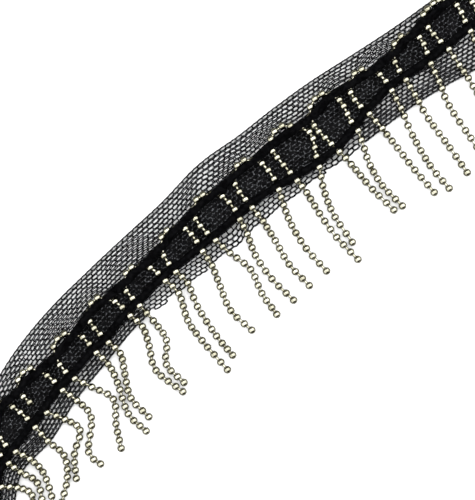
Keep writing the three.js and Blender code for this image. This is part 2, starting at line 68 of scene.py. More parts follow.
# The hanging strands, from left to right: first ball, three on the way and last ball. at tells which
# balls stand at those places, counted from 0.
STRANDS = [
    {"at": (0, 2, 5, 8, 11), "root": (-62.9, -63.1), "high": (-58.8, -63.4),
     "mid": (-54.9, -65.6), "low": (-55.2, -72.0), "tip": (-54.9, -78.4)},
    {"at": (0, 2, 5, 8, 11), "root": (-61.0, -56.8), "high": (-58.0, -59.2),
     "mid": (-53.5, -62.3), "low": (-52.0, -68.9), "tip": (-51.7, -75.5)},
    {"at": (0, 2, 5, 8, 11), "root": (-59.1, -53.7), "high": (-55.5, -55.7),
     "mid": (-52.0, -59.4), "low": (-49.7, -65.8), "tip": (-48.6, -72.4)},
    {"at": (0, 2, 5, 8, 11), "root": (-53.9, -47.2), "high": (-50.7, -50.9),
     "mid": (-46.4, -54.9), "low": (-45.5, -60.7), "tip": (-46.9, -67.4)},
    {"at": (0, 2, 5, 8, 11), "root": (-50.8, -43.3), "high": (-46.1, -45.2),
     "mid": (-42.1, -48.2), "low": (-43.6, -54.6), "tip": (-43.1, -61.1)},
    {"at": (0, 2, 5, 9, 11), "root": (-46.6, -37.3), "high": (-42.9, -40.2),
     "mid": (-39.1, -44.8), "low": (-39.8, -54.0), "tip": (-36.6, -57.2)},
    {"at": (0, 2, 5, 8, 11), "root": (-43.4, -34.2), "high": (-38.9, -36.6),
     "mid": (-33.2, -39.9), "low": (-32.5, -46.5), "tip": (-31.1, -53.0)},
    {"at": (0, 2, 5, 9, 12), "root": (-37.6, -27.3), "high": (-34.6, -30.4),
     "mid": (-32.1, -35.4), "low": (-29.2, -43.8), "tip": (-24.4, -48.4)},
    {"at": (0, 2, 5, 8, 11), "root": (-34.4, -24.6), "high": (-31.3, -27.6),
     "mid": (-30.1, -33.2), "low": (-28.5, -39.6), "tip": (-23.7, -44.6)},
    {"at": (0, 2, 5, 8, 12), "root": (-28.6, -17.5), "high": (-25.4, -20.4),
     "mid": (-23.6, -25.7), "low": (-21.8, -32.2), "tip": (-14.6, -37.9)},
    {"at": (0, 2, 5, 8, 11), "root": (-26.1, -14.8), "high": (-22.5, -18.9),
     "mid": (-19.0, -24.1), "low": (-19.0, -30.6), "tip": (-14.3, -35.4)},
    {"at": (0, 2, 6, 9, 13), "root": (-19.2, -8.2), "high": (-15.7, -11.5),
     "mid": (-13.3, -18.8), "low": (-9.5, -24.2), "tip": (-2.7, -32.0)},
    {"at": (0, 2, 5, 9, 12), "root": (-16.4, -5.8), "high": (-13.3, -8.8),
     "mid": (-10.7, -15.1), "low": (-5.6, -23.0), "tip": (-1.3, -28.1)},
    {"at": (0, 2, 5, 8, 11), "root": (-9.3, -0.3), "high": (-6.8, -4.2),
     "mid": (-4.6, -9.8), "low": (-1.8, -16.2), "tip": (3.8, -21.4)},
    {"at": (0, 2, 5, 8, 11), "root": (-5.8, 2.6), "high": (-2.0, -0.8),
     "mid": (3.5, -5.2), "low": (6.5, -11.6), "tip": (10.5, -17.2)},
    {"at": (0, 2, 5, 8, 11), "root": (0.6, 8.2), "high": (2.6, 4.3),
     "mid": (4.8, -1.4), "low": (9.2, -7.7), "tip": (15.0, -13.4)},
    {"at": (0, 2, 5, 8, 11), "root": (3.9, 11.3), "high": (6.8, 7.7),
     "mid": (10.1, 2.5), "low": (13.8, -3.8), "tip": (19.2, -9.5)},
    {"at": (0, 2, 5, 8, 11), "root": (11.0, 16.1), "high": (12.3, 12.0),
     "mid": (14.5, 6.6), "low": (18.4, 0.4), "tip": (23.8, -5.6)},
    {"at": (0, 2, 5, 8, 11), "root": (15.9, 18.5), "high": (18.5, 15.3),
     "mid": (21.9, 9.8), "low": (26.5, 3.4), "tip": (32.2, -2.5)},
    {"at": (0, 2, 4, 6, 9), "root": (21.8, 22.1), "high": (22.8, 17.2),
     "mid": (24.2, 12.9), "low": (26.1, 8.8), "tip": (30.7, 2.1)},
    {"at": (0, 2, 4, 6, 9), "root": (27.1, 26.2), "high": (30.4, 22.9),
     "mid": (32.9, 19.9), "low": (36.1, 16.2), "tip": (41.8, 10.7)},
    {"at": (0, 2, 4, 7, 10), "root": (32.1, 31.8), "high": (33.9, 27.0),
     "mid": (35.5, 22.6), "low": (38.8, 17.2), "tip": (44.1, 11.8)},
    {"at": (0, 2, 5, 8, 11), "root": (35.1, 36.3), "high": (38.6, 32.5),
     "mid": (42.8, 27.3), "low": (47.4, 21.4), "tip": (52.6, 15.4)},
    {"at": (0, 2, 5, 9, 12), "root": (41.1, 42.5), "high": (43.6, 37.9),
     "mid": (46.8, 30.7), "low": (51.5, 22.6), "tip": (56.6, 16.5)},
    {"at": (0, 2, 5, 9, 12), "root": (44.9, 45.3), "high": (47.3, 41.5),
     "mid": (51.1, 35.1), "low": (56.8, 27.3), "tip": (61.4, 20.7)},
    {"at": (0, 2, 5, 9, 12), "root": (51.5, 49.7), "high": (53.8, 45.1),
     "mid": (56.6, 38.6), "low": (62.4, 29.9), "tip": (66.8, 23.6)},
    {"at": (0, 2, 5, 9, 12), "root": (56.3, 53.5), "high": (59.2, 49.4),
     "mid": (63.0, 43.8), "low": (67.8, 36.0), "tip": (71.8, 30.2)},
    {"at": (0, 2, 5, 9, 12), "root": (62.1, 58.3), "high": (64.3, 53.9),
     "mid": (67.3, 47.2), "low": (72.8, 38.6), "tip": (77.4, 32.6)},
    {"at": (0, 2, 5, 9, 12), "root": (66.4, 61.6), "high": (69.2, 57.4),
     "mid": (73.3, 51.2), "low": (79.0, 43.0), "tip": (83.4, 36.8)},
    {"at": (0, 2, 5, 9, 12), "root": (72.6, 66.4), "high": (74.5, 62.0),
     "mid": (78.1, 55.4), "low": (83.8, 47.0), "tip": (88.2, 40.8)},
]

# The looped part of each chain on the tape, up one leg, over the top and down the other.
LOOPS = [
    {"at": (0, 2, 4, 7, 9, 11), "foot_a": (-66.0, -62.4), "knee_a": (-69.6, -61.4), "crown_a": (-73.8, -60.0),
     "crown_b": (-72.8, -53.4), "knee_b": (-68.0, -51.8), "foot_b": (-63.2, -54.7)},
    {"at": (0, 1, 3, 7, 9, 11), "foot_a": (-61.8, -51.9), "knee_a": (-63.3, -50.1), "crown_a": (-67.6, -46.6),
     "crown_b": (-64.6, -40.7), "knee_b": (-59.9, -41.8), "foot_b": (-56.0, -44.9)},
    {"at": (0, 1, 3, 5, 7, 8), "foot_a": (-55.4, -40.5), "knee_a": (-57.1, -39.0), "crown_a": (-58.4, -34.6),
     "crown_b": (-55.2, -31.5), "knee_b": (-50.8, -33.4), "foot_b": (-48.8, -35.0)},
    {"at": (0, 1, 3, 5, 7, 8), "foot_a": (-45.8, -32.4), "knee_a": (-47.4, -30.5), "crown_a": (-49.0, -25.8),
     "crown_b": (-46.1, -22.3), "knee_b": (-41.3, -23.2), "foot_b": (-39.5, -25.0)},
    {"at": (0, 2, 4, 5, 7, 8), "foot_a": (-36.6, -22.4), "knee_a": (-39.4, -19.0), "crown_a": (-39.0, -14.2),
     "crown_b": (-37.3, -12.7), "knee_b": (-32.7, -13.7), "foot_b": (-30.7, -15.2)},
    {"at": (0, 1, 3, 4, 6, 7), "foot_a": (-28.0, -12.8), "knee_a": (-29.7, -10.9), "crown_a": (-29.7, -6.2),
     "crown_b": (-28.2, -4.6), "knee_b": (-23.3, -4.7), "foot_b": (-21.2, -6.1)},
    {"at": (0, 1, 3, 4, 6, 8), "foot_a": (-18.3, -3.6), "knee_a": (-19.7, -1.5), "crown_a": (-20.2, 3.4),
     "crown_b": (-18.8, 5.2), "knee_b": (-14.0, 5.7), "foot_b": (-10.9, 2.3)},
    {"at": (0, 2, 4, 5, 7, 9), "foot_a": (-8.1, 4.6), "knee_a": (-11.3, 8.4), "crown_a": (-11.0, 13.4),
     "crown_b": (-9.2, 14.7), "knee_b": (-4.1, 14.3), "foot_b": (-0.7, 10.8)},
    {"at": (0, 2, 4, 5, 7, 9), "foot_a": (2.1, 13.5), "knee_a": (-0.7, 17.6), "crown_a": (-0.1, 22.5),
     "crown_b": (1.7, 23.9), "knee_b": (6.5, 23.1), "foot_b": (9.7, 19.0)},
    {"at": (0, 3, 4, 6, 9, 12), "foot_a": (14.0, 20.7), "knee_a": (9.3, 26.4), "crown_a": (8.9, 29.5),
     "crown_b": (11.8, 33.0), "knee_b": (19.1, 31.5), "foot_b": (21.0, 25.0)},
    {"at": (0, 3, 5, 7, 9, 12), "foot_a": (25.0, 28.3), "knee_a": (20.4, 33.2), "crown_a": (19.4, 38.1),
     "crown_b": (22.5, 41.6), "knee_b": (27.1, 40.0), "foot_b": (30.3, 34.2)},
    {"at": (0, 2, 4, 5, 7, 8), "foot_a": (32.8, 38.3), "knee_a": (30.1, 42.0), "crown_a": (31.2, 47.0),
     "crown_b": (33.1, 48.1), "knee_b": (37.9, 46.8), "foot_b": (39.5, 45.0)},
    {"at": (0, 1, 3, 4, 6, 8), "foot_a": (43.1, 47.8), "knee_a": (41.9, 50.1), "crown_a": (41.9, 54.9),
     "crown_b": (43.6, 56.9), "knee_b": (48.4, 56.7), "foot_b": (50.5, 52.6)},
    {"at": (0, 2, 3, 6, 8, 10), "foot_a": (54.1, 55.6), "knee_a": (50.7, 59.4), "crown_a": (49.6, 62.7),
     "crown_b": (53.8, 66.6), "knee_b": (58.4, 65.3), "foot_b": (60.6, 61.0)},
    {"at": (0, 2, 4, 5, 7, 9), "foot_a": (63.8, 64.0), "knee_a": (61.5, 68.1), "crown_a": (61.2, 72.2),
     "crown_b": (63.0, 74.2), "knee_b": (67.8, 73.4), "foot_b": (70.8, 69.4)},
]

BACK_ABOVE_ROOT = 1.25
GROUND_BELOW = 1.35
GROUND_ABOVE = 1.4
GROUND_FROM_FOLD = 2
GROUND_THICK = 1.0
GROUND_INSET = 0.06
GROUND_ROUNDING = 0.18
GROUND_STEPS = 260
GAP = 0.3
STATIONS = 600
WIDEST = 60


def through(places, u):
    """A place on the smooth line through the given places, u from 0 to 1."""
    last = len(places) - 1
    i = min(int(u * last), last - 1)
    part = u * last - i
    a, b = places[i], places[i + 1]
    before = places[i - 1] if i > 0 else a * 2 - b
    after = places[i + 2] if i + 2 <= last else b * 2 - a
    leave = (b - before) / 2
    arrive = (after - a) / 2
    bend = b * 3 - a * 3 - leave * 2 - arrive
    turn = a * 2 - b * 2 + leave + arrive
    return a + leave * part + bend * part**2 + turn * part**3


def smooth(x):
    x = np.clip(x, 0, 1)
    return x * x * (3 - 2 * x)


def rung_at(s):
    low = through([Vector(r["low"]) for r in RUNGS], s)
    across = through([Vector(r["up"]) for r in RUNGS], s) - low
    return low, across.normalized(), across.length


rungs = [rung_at(i / STATIONS) for i in range(STATIONS + 1)]
middles = [low + across * width / 2 for low, across, width in rungs]
steps = [(b - a).length for a, b in zip(middles, middles[1:])]
ALONG = np.concatenate([[0], np.cumsum(steps)])
LENGTH = ALONG[-1]
course = {
    "x": np.array([r[0].x for r in rungs]),
    "y": np.array([r[0].y for r in rungs]),
    "across_x": np.array([r[1].x for r in rungs]),
    "across_y": np.array([r[1].y for r in rungs]),
    "width": np.array([r[2] for r in rungs]),
}


def place_of(place):
    """How far along the tape a place lies, and how far in from the line of its lower edge."""
    dx = place[0] - course["x"]
    dy = place[1] - course["y"]
    beside = np.abs(dx * course["across_y"] - dy * course["across_x"])
    across = dx * course["across_x"] + dy * course["across_y"]
    i = int(np.argmin(np.where(np.abs(across) < WIDEST, beside, np.inf)))
    return ALONG[i], across[i]


def along_tape(pairs):
    """A value that changes smoothly from one place along the tape to the next, at every station."""
    known = sorted(pairs)
    at = np.array([p[0] for p in known])
    value = np.array([p[1] for p in known])
    i = np.clip(np.searchsorted(at, ALONG, side="right"), 1, len(at) - 1)
    part = smooth((ALONG - at[i - 1]) / (at[i] - at[i - 1]))
    return value[i - 1] + (value[i] - value[i - 1]) * part


def at(name, along):
    return np.interp(along, ALONG, course[name])


def on_tape(along, across, up):
    """Places in millimetres for arrays of distance along the tape, in from its lower edge, and height."""
    x = at("x", along) + at("across_x", along) * across
    y = at("y", along) + at("across_y", along) * across
    return np.stack([x, y, up], axis=1)


def midway(a, b):
    return (Vector(a) + Vector(b)) / 2


roots = [place_of(strand["root"]) for strand in STRANDS]
crossings = [midway(l["knee_a"], l["crown_a"]) for l in LOOPS]
crossings += [midway(l["crown_b"], l["knee_b"]) for l in LOOPS]
course["back"] = along_tape([(s, t + BACK_ABOVE_ROOT) for s, t in roots])
course["strip"] = along_tape([place_of(p) for p in crossings])
course["ground_low"] = course["back"] - GROUND_BELOW
course["ground_up"] = np.minimum(course["strip"] + GROUND_ABOVE, course["width"] - GROUND_FROM_FOLD)


def flat_places(bm):
    return np.array([v.co for v in bm.verts])


def set_places(bm, places):
    for v, place in zip(bm.verts, places):
        v.co = place


def as_piece(bm, name, material):
    """Turns work laid out in millimetres into a piece in metres that rides with the trim."""
    bmesh.ops.translate(bm, vec=-CENTRE, verts=bm.verts)
    bmesh.ops.scale(bm, vec=(MM, MM, MM), verts=bm.verts)
    mesh = bpy.data.meshes.new(name)
    bm.to_mesh(mesh)
    bm.free()
    mesh.shade_smooth()
    mesh.materials.append(material)
    piece = bpy.data.objects.new(name, mesh)
    bpy.context.scene.collection.objects.link(piece)
    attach(piece, "root")
    return piece


def socket(group, name, kind, side, value=None):
    made = group.interface.new_socket(name=name, in_out=side, socket_type="NodeSocket" + kind)
    if value is not None:
        made.default_value = value


# Cloth and thread take their unevenness from this group: patches of two colours and a fine height.
# On the net thread the light patches, made sparse by Light From, are painted glints.
uneven = bpy.data.node_groups.new("uneven_yarn", "ShaderNodeTree")
socket(uneven, "Dark", "Color", "INPUT", (0, 0, 0, 1))
socket(uneven, "Light", "Color", "INPUT", (1, 1, 1, 1))
socket(uneven, "Patch Scale", "Float", "INPUT", 300)
socket(uneven, "Light From", "Float", "INPUT", 0.35)
socket(uneven, "Fibre Scale", "Float", "INPUT", 4000)
socket(uneven, "Color", "Color", "OUTPUT")
socket(uneven, "Height", "Float", "OUTPUT")
nodes, links = uneven.nodes, uneven.links
given = nodes.new("NodeGroupInput")
wanted = nodes.new("NodeGroupOutput")
place = nodes.new("ShaderNodeTexCoord")
patches = nodes.new("ShaderNodeTexNoise")
fibres = nodes.new("ShaderNodeTexNoise")
mixed = nodes.new("ShaderNodeMix")
mixed.data_type = "RGBA"
clearer = nodes.new("ShaderNodeMapRange")
clearer.inputs["From Max"].default_value = 0.7
links.new(given.outputs["Light From"], clearer.inputs["From Min"])
links.new(place.outputs["Object"], patches.inputs["Vector"])
links.new(place.outputs["Object"], fibres.inputs["Vector"])
links.new(given.outputs["Patch Scale"], patches.inputs["Scale"])
links.new(given.outputs["Fibre Scale"], fibres.inputs["Scale"])
links.new(patches.outputs["Fac"], clearer.inputs["Value"])
links.new(clearer.outputs["Result"], mixed.inputs["Factor"])
links.new(given.outputs["Dark"], mixed.inputs["A"])
links.new(given.outputs["Light"], mixed.inputs["B"])
links.new(mixed.outputs["Result"], wanted.inputs["Color"])
links.new(fibres.outputs["Fac"], wanted.inputs["Height"])


def yarn(name, dark, light, roughness, specular, patch, fibre, relief, light_from=0.35):
    """A material of fibre: uneven colour and a fine relief, with its gloss on the shader itself; on the net
    thread the light patches are painted glints.
    patch and fibre are how often its colour and its relief change in a metre."""
    material = bpy.data.materials.new(name)
    material.use_nodes = True
    tree = material.node_tree
    shader = tree.nodes["Principled BSDF"]
    group = tree.nodes.new("ShaderNodeGroup")
    group.node_tree = uneven
    group.inputs["Dark"].default_value = (*dark, 1)
    group.inputs["Light"].default_value = (*light, 1)
    group.inputs["Patch Scale"].default_value = patch
    group.inputs["Fibre Scale"].default_value = fibre
    group.inputs["Light From"].default_value = light_from
    bump = tree.nodes.new("ShaderNodeBump")
    bump.inputs["Strength"].default_value = 0.6
    bump.inputs["Distance"].default_value = relief
    tree.links.new(group.outputs["Color"], shader.inputs["Base Color"])
    tree.links.new(group.outputs["Height"], bump.inputs["Height"])
    tree.links.new(bump.outputs["Normal"], shader.inputs["Normal"])
    shader.inputs["Roughness"].default_value = roughness
    shader.inputs["Specular IOR Level"].default_value = specular
    return material


def lengthways(bm):
    """The edges that run lengthways in a bar of unit length."""
    return [e for e in bm.edges if abs(e.verts[0].co.x - e.verts[1].co.x) > 0.5]


black_cloth = yarn(
    "ground_black", dark=(0.003, 0.003, 0.0032), light=(0.01, 0.01, 0.011),
    roughness=0.95, specular=0.05, patch=400, fibre=5000, relief=0.00005,
)
ground = bmesh.new()
bmesh.ops.create_cube(ground, size=1)
bmesh.ops.translate(ground, vec=(0.5, 0, 0), verts=ground.verts)
bmesh.ops.bevel(
    ground, geom=lengthways(ground), offset=GROUND_ROUNDING, segments=2, profile=0.5,
    affect="EDGES", material=-1,
)
bmesh.ops.subdivide_edges(ground, edges=lengthways(ground), cuts=GROUND_STEPS)
x, y, z = flat_places(ground).T
along = x * LENGTH
edge_low = at("ground_low", along)
edge_up = at("ground_up", along)
across = edge_low + (edge_up - edge_low) * (y + 0.5)
up = GROUND_INSET + (z + 0.5) * (GROUND_THICK - 2 * GROUND_INSET)
set_places(ground, on_tape(along, across, up))
ground_cloth = as_piece(ground, "ground_cloth", black_cloth)
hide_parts("ground_strip")

# The net tape: one length of black hexagonal net of shiny thread, folded lengthwise. The fold is its
# upper edge, its cut lower edge is drawn in at each strand, and near both ends that edge is turned
# under as a hem. The holes are 1.8 mm apart in rows about 1 mm apart, and the rows run along the tape.
NET_THICK = 1.0
FOLD_THICK = 1.2
SLOPE = 1.4
LEVEL_PAST_LOW = 0.35
LEVEL_PAST_UP = 2
LEVEL_FROM_FOLD = 1.55
FOOT_FROM_EDGE = 0.2
DROOP = 0.45
DROOP_REACH = 2.2
CELL_LONG = 1.8
CELL_ROW = 0.97
CELL_TIP = 0.58
MERGE = 0.05
THREAD = 0.46
THREAD_AT_EDGE = 0.6
THICK_ROWS = 4
THREAD_SLIM = 0.84
THREAD_FLAT = 0.6
TOP_ROWS = 21.5
FOLD_ROWS = 1.76
BACK_ROWS = 10
HEM_FOLD_ROWS = 1.3
HEM_ROWS = 8
FOLD_RADIUS = 0.45
HEM_RADIUS = 0.35
ON_FLOOR = 0.19
HEM_LEFT_END = 73.4
HEM_RIGHT_START = 146.6
HEM_GAP = 0.75 * CELL_LONG
EDGE_ROWS = 3
EDGE_INSET = 0.35
UNDER_GROUND = 0.5
DRIFT_ROWS = 12
DRIFT_FROM_HEM = 6
CALM_ROWS = 3
LOOSE_FROM_FOLD = 2.5
EDGE_LINE = 0.16
HEM_LINE = 0.22
LINE_STEP = 0.6

# How the soft pieces stray: the size of the waves, how far they reach, and which noise they follow.
STRAY = {
    "lower_border": {"size": 8, "reach": 2.2, "seed": 2.5},
    "both_across": {"size": 6, "reach": 0.45, "seed": 9.5},
    "both_along": {"size": 7, "reach": 0.5, "seed": 1.5},
    "behind_across": {"size": 7, "reach": 0.4, "seed": 7.5},
    "behind_along": {"size": 8, "reach": 1.1, "seed": 4.5},
    "braid_width": {"size": 2.5, "reach": 0.25, "seed": 3.5},
}


def strand_count(along):
    """Strands passed so far along the tape, with the share of the way to the next."""
    ends = np.array([s for s, t in roots])
    return np.interp(along, ends, np.arange(len(ends)))


lobes = np.interp(np.linspace(0, 1, STATIONS + 1), np.linspace(0, 1, len(RUNGS)), [r["lobe"] for r in RUNGS])
course["edge"] = -lobes * np.abs(np.sin(np.pi * strand_count(ALONG)))
course["level_low"] = course["ground_low"] - LEVEL_PAST_LOW
course["level_up"] = np.minimum(course["ground_up"] + LEVEL_PAST_UP, course["width"] - LEVEL_FROM_FOLD)
course["foot_low"] = course["level_low"] - np.minimum(SLOPE, course["level_low"] - FOOT_FROM_EDGE)
course["foot_up"] = course["level_up"] + SLOPE
LIFT = GROUND_THICK + GAP


def net_top(along, across):
    """The height of the net's upper face."""
    foot_low, level_low = at("foot_low", along), at("level_low", along)
    foot_up, level_up = at("foot_up", along), at("level_up", along)
    rise = np.clip((across - foot_low) / (level_low - foot_low), 0, 1)
    rise = rise * np.clip((foot_up - across) / (foot_up - level_up), 0, 1)
    folded = np.where(across > level_up, 1 - rise, 0)
    return LIFT * rise + NET_THICK + (FOLD_THICK - NET_THICK) * folded


def stray(kind, along, across):
    """A slow unevenness of the given kind, as net shifts under the hand."""
    size, reach, seed = (STRAY[kind][k] for k in ("size", "reach", "seed"))
    places = zip(along / size, across / size)
    return np.array([noise.noise((x, y, seed)) for x, y in places]) * reach


cell = bmesh.new()
bmesh.ops.create_circle(cell, cap_ends=True, radius=1.0, segments=6)
bmesh.ops.scale(cell, vec=(CELL_LONG / math.sqrt(3), 1, 1), verts=cell.verts)
for v in cell.verts:
    v.co.y = math.copysign(CELL_TIP if abs(v.co.y) > 0.75 else CELL_ROW - CELL_TIP, v.co.y)
twin = bmesh.ops.duplicate(cell, geom=cell.verts[:] + cell.edges[:] + cell.faces[:])
moved = [v for v in twin["geom"] if isinstance(v, bmesh.types.BMVert)]
bmesh.ops.translate(cell, vec=(CELL_LONG / 2, CELL_ROW, 0), verts=moved)
cell_mesh = bpy.data.meshes.new("net_cell")
cell.to_mesh(cell_mesh)
cell.free()
cells = bpy.data.objects.new("net_cells", cell_mesh)
bpy.context.scene.collection.objects.link(cells)
all_rows = HEM_ROWS + HEM_FOLD_ROWS + TOP_ROWS + FOLD_ROWS + BACK_ROWS
repeats = [(round(LENGTH / CELL_LONG), (CELL_LONG, 0, 0)), (round(all_rows / 2), (0, 2 * CELL_ROW, 0))]
for count, step in repeats:
    array = cells.modifiers.new("repeat", "ARRAY")
    array.count = count
    array.use_relative_offset = False
    array.use_constant_offset = True
    array.constant_offset_displace = step
evaluated = cells.evaluated_get(bpy.context.evaluated_depsgraph_get())
net = bmesh.new()
net.from_mesh(evaluated.to_mesh())
evaluated.to_mesh_clear()
bpy.data.objects.remove(cells)
bmesh.ops.remove_doubles(net, verts=net.verts, dist=MERGE)

FIRST_ROW = -(HEM_ROWS + HEM_FOLD_ROWS)
FOLD_END = TOP_ROWS + FOLD_ROWS


def net_row(y):
    """The row of holes at a place of the flat net, counted from the tape's lower edge."""
    return FIRST_ROW + 0.5 + y / CELL_ROW


def hemmed_at(along):
    return (along < HEM_LEFT_END) | (along > HEM_RIGHT_START)


def drift(x, row):
    """How far the rows stray from the tape's direction at its lower border, where it has no hem."""
    from_hem = np.minimum(x - HEM_LEFT_END, HEM_RIGHT_START - x)
    far = stray("lower_border", x, np.zeros(len(x)))
    return far * smooth(1 - row / DRIFT_ROWS) * smooth(from_hem / DRIFT_FROM_HEM)


def lay_net(x, y, z):
    """Takes the flat net's x, y and z to its place along and across the tape and its height."""
    row = net_row(y)
    along = np.clip(x, 0, LENGTH)
    width = at("width", along)
    pitch = (width - FOLD_RADIUS) / TOP_ROWS
    hemmed = hemmed_at(along)
    in_fold = (row > TOP_ROWS) & (row < FOLD_END)
    behind = row >= FOLD_END
    in_hem = (row < 0) & (row > -HEM_FOLD_ROWS) & hemmed
    under_hem = (row <= -HEM_FOLD_ROWS) & hemmed
    inner = smooth(row / CALM_ROWS) * smooth((TOP_ROWS - row) / CALM_ROWS)
    above_hem = -row - HEM_FOLD_ROWS
    seen_at = CELL_ROW * np.select([behind, under_hem], [TOP_ROWS + FOLD_END - row, above_hem], row)
    shared = stray("both_across", x, seen_at)
    flat = row * pitch + drift(x, row) + inner * shared
    turn = (row - TOP_ROWS) / FOLD_ROWS * np.pi
    hem_turn = -row / HEM_FOLD_ROWS * np.pi
    far_in = (row - FOLD_END) * pitch
    loose = smooth(far_in / LOOSE_FROM_FOLD)
    far_across = width - FOLD_RADIUS - far_in + loose * (shared + stray("behind_across", x, y))
    droop = np.where(hemmed, 0, DROOP * np.clip(1 - flat / DROOP_REACH, 0, 1))
    top = net_top(along, flat) - THREAD / 2 - droop
    across = np.select(
        [in_fold, behind, in_hem, under_hem],
        [
            width - FOLD_RADIUS + (FOLD_RADIUS + z) * np.sin(turn), far_across,
            -(HEM_RADIUS + z) * np.sin(hem_turn), above_hem * pitch,
        ],
        flat,
    )
    up = np.select(
        [in_fold, behind | under_hem, in_hem],
        [
            ON_FLOOR + FOLD_RADIUS + (FOLD_RADIUS + z) * np.cos(turn), ON_FLOOR - z,
            ON_FLOOR + HEM_RADIUS + (HEM_RADIUS + z) * np.cos(hem_turn),
        ],
        top + z,
    )
    along = along + stray("both_along", x, seen_at)
    along = along + np.where(behind, loose * stray("behind_along", x, y), 0)
    return along, across, up


x, y, z = np.array([f.calc_center_median() for f in net.faces]).T
along, across, up = lay_net(x, y, z)
row = net_row(y)
hem_starts = np.minimum(np.abs(x - HEM_LEFT_END), np.abs(x - HEM_RIGHT_START)) < HEM_GAP
cut = (row < EDGE_ROWS) & ~hemmed_at(x) & (across < at("edge", along) + EDGE_INSET)
cut |= (row < 0.5) & hem_starts
cut |= (row > FOLD_END) & (across < at("ground_up", along) + UNDER_GROUND)
cut |= (row < -HEM_FOLD_ROWS) & (across > at("ground_low", along) - UNDER_GROUND)
bmesh.ops.delete(net, geom=[f for f, gone in zip(net.faces, cut) if gone], context="FACES")
for _ in range(2):
    loose_cells = [f for f in net.faces if sum(len(e.link_faces) == 2 for e in f.edges) < 3]
    bmesh.ops.delete(net, geom=loose_cells, context="FACES")
net.verts.index_update()
bmesh.ops.scale(net, vec=(1, 1 / THREAD_SLIM, 1), verts=net.verts)
bmesh.ops.recalc_face_normals(net, faces=net.faces)
thick_rows = [v.index for v in net.verts if net_row(v.co.y * THREAD_SLIM) < THICK_ROWS]
net_mesh = bpy.data.meshes.new("net_flat")
net.to_mesh(net_mesh)
threads = bpy.data.objects.new("net_threads", net_mesh)
bpy.context.scene.collection.objects.link(threads)
threads.vertex_groups.new(name="thick").add(thick_rows, 1.0, "REPLACE")
wire = threads.modifiers.new("threads", "WIREFRAME")
wire.thickness = THREAD_AT_EDGE
wire.vertex_group = "thick"
wire.thickness_vertex_group = THREAD / THREAD_AT_EDGE
wire.offset = 0
wire.use_boundary = True
wire.use_even_offset = False
evaluated = threads.evaluated_get(bpy.context.evaluated_depsgraph_get())
net.clear()
net.from_mesh(evaluated.to_mesh())
evaluated.to_mesh_clear()
bpy.data.objects.remove(threads)
bmesh.ops.scale(net, vec=(1, THREAD_SLIM, THREAD_FLAT), verts=net.verts)
set_places(net, on_tape(*lay_net(*flat_places(net).T)))


def edge_line(start, end, share, inset, up, radius):
    """The gathered thread along a folded edge, joined to the net. share is how much of the tape's
    width lies below it, and inset is how far it is moved up from there."""
    line = bmesh.new()
    turned = Matrix.Rotation(math.pi / 2, 4, "Y")
    bmesh.ops.create_cone(
        line, cap_ends=True, segments=6, radius1=radius, radius2=radius, depth=1, matrix=turned
    )
    bmesh.ops.subdivide_edges(line, edges=lengthways(line), cuts=int((end - start) / LINE_STEP))
    x, y, z = flat_places(line).T
    along = start + (x + 0.5) * (end - start)
    set_places(line, on_tape(along, at("width", along) * share + inset + y, up + z))
    mesh = bpy.data.meshes.new("edge_line")
    line.to_mesh(mesh)
    line.free()
    net.from_mesh(mesh)
    bpy.data.meshes.remove(mesh)


edge_line(0, LENGTH, share=1, inset=-EDGE_LINE, up=ON_FLOOR + FOLD_RADIUS, radius=EDGE_LINE)
hems = [(0, HEM_LEFT_END - CELL_LONG), (HEM_RIGHT_START + CELL_LONG, LENGTH)]
for start, end in hems:
    edge_line(start, end, share=0, inset=HEM_LINE - HEM_RADIUS, up=ON_FLOOR + HEM_RADIUS, radius=HEM_LINE)
# Its sparse light patches are painted glints: brighter spots in the thread's colour that stand for its shine.
net_thread = yarn(
    "net_thread", dark=(0.001, 0.001, 0.0013), light=(0.1, 0.104, 0.112),
    roughness=0.25, specular=0.08, patch=2200, fibre=9000, relief=0.00002, light_from=0.5,
)
net_tape = as_piece(net, "net_of_tape", net_thread)
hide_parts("net_tape")

# The looped chains: ball chain of thin polished metal, hollow 2 mm balls strung on short bars. Each
# length goes up one leg, over the top and down the other on the net, held down by the two strips.
# Their heights are those of the solids, whose squared balls are a little narrower.
SOLID_BALL = 1.8
BALL_RADIUS = 1.03
BAR_RADIUS = 0.34
END_BAR = 1.2
DROP = 1.45
FOOT_MARGIN = 0.15


def chain_height(place):
    """The height of a chain's middle: on the net, or on the floor beyond its edge."""
    along, across = place_of(place)
    inside = across - at("edge", along)
    foot = SOLID_BALL / 2 + FOOT_MARGIN
    on_floor = smooth((inside + foot + DROP) / DROP) * (NET_THICK + GAP)
    on_net = max(net_top(along, across - foot), net_top(along, across + foot)) + GAP
    height = SOLID_BALL / 2 + (on_floor if inside < -foot else on_net)
    return max(height, BALL_RADIUS)


def as_shape(bm, name):
    shape = bpy.data.meshes.new(name)
    bm.to_mesh(shape)
    bm.free()
    return shape


hollow_ball = bmesh.new()
bmesh.ops.create_uvsphere(hollow_ball, u_segments=12, v_segments=8, radius=BALL_RADIUS)
hollow_ball = as_shape(hollow_ball, "hollow_ball")
bar = bmesh.new()
bmesh.ops.create_cone(bar, cap_ends=True, segments=6, radius1=BAR_RADIUS, radius2=BAR_RADIUS, depth=1)
bar = as_shape(bar, "bar")


def add_shape(bm, shape, middle, way, length):
    """Adds a copy of a shape with its axis along the given way."""
    placed = shape.copy()
    placed.transform(Matrix.Diagonal((1, 1, length, 1)))
    placed.transform(Matrix.Translation(middle) @ way.to_track_quat("Z", "X").to_matrix().to_4x4())
    bm.from_mesh(placed)
    bpy.data.meshes.remove(placed)


